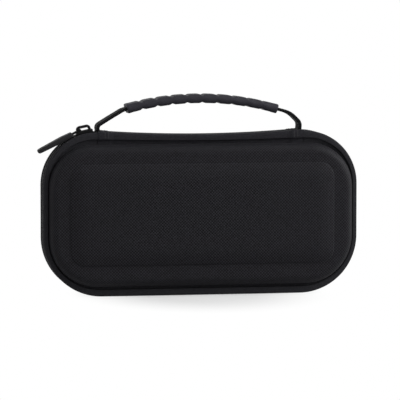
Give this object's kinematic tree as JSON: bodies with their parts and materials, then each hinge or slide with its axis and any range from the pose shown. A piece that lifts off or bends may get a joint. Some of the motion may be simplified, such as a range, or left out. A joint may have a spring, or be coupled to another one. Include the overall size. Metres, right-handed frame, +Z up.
{
  "type": "portable game console case",
  "caption": "Semi-rigid zip case for a handheld game console, with moulded fabric-covered halves, fabric spine, webbing handle with lobed grip, net pocket and elastic straps.",
  "frame": {"origin": "middle of the zip edge that the closed case stands on", "axes": "+X to the case's right as seen from its front, +Y to the back, +Z up; the front faces -Y"},
  "size_m": [0.265, 0.046, 0.1657],
  "materials": {
    "shell_fabric": "matt woven nylon bonded to moulded foam",
    "zip_tape": "matt woven tape",
    "zip_coil": "satin nylon monofilament",
    "binding": "matt woven binding tape",
    "spine_fabric": "matt woven nylon",
    "lining": "brushed knit",
    "webbing": "matt woven webbing",
    "grip_rubber": "matt moulded rubber",
    "slider_metal": "satin black lacquer on zinc",
    "pull_moulding": "satin moulded plastic",
    "net": "knitted net",
    "elastic": "ribbed woven elastic"
  },
  "bodies": {
    "base": {"rear_shell": "shell_fabric", "rear_zip_tape": "zip_tape", "rear_zip_coil": "zip_coil", "rear_edge_binding": "binding", "left_retaining_strap": "elastic", "right_retaining_strap": "elastic"},
    "spine": {"spine_panel": "spine_fabric", "spine_lining": "lining", "handle_strap": "webbing", "handle_grip": "grip_rubber"},
    "lid": {"front_shell": "shell_fabric", "front_zip_tape": "zip_tape", "front_zip_coil": "zip_coil", "front_edge_binding": "binding", "mesh_pocket": "net", "pocket_elastic": "elastic"},
    "slider": {"slider_body": "slider_metal"},
    "pull": {"pull_link": "slider_metal", "pull_tab": "pull_moulding"}
  },
  "joints": [
    {"name": "spine_fold", "type": "hinge", "parent": "base", "child": "spine", "pos_m": [0, 0.01, 0.1353], "axis": [-1, 0, 0], "range_deg": [0, 90]},
    {"name": "lid_fold", "type": "hinge", "parent": "spine", "child": "lid", "pos_m": [0, -0.01, 0.1353], "axis": [-1, 0, 0], "range_deg": [0, 90], "deforming": ["front_zip_tape", "front_zip_coil"]},
    {"name": "slider_travel", "type": "hinge", "parent": "base", "child": "slider", "pos_m": [-0.087, 0, 0.091], "axis": [0, -1, 0], "range_deg": [0, 55], "deforming": ["rear_zip_coil"]},
    {"name": "pull_swing", "type": "hinge", "parent": "slider", "child": "pull", "pos_m": [-0.09954, 0, 0.13652], "axis": [0, 1, 0], "range_deg": [0, 100]}
  ],
  "couplings": [
    {"joint": "lid_fold", "follows": "spine_fold", "ratio": 1}
  ]
}
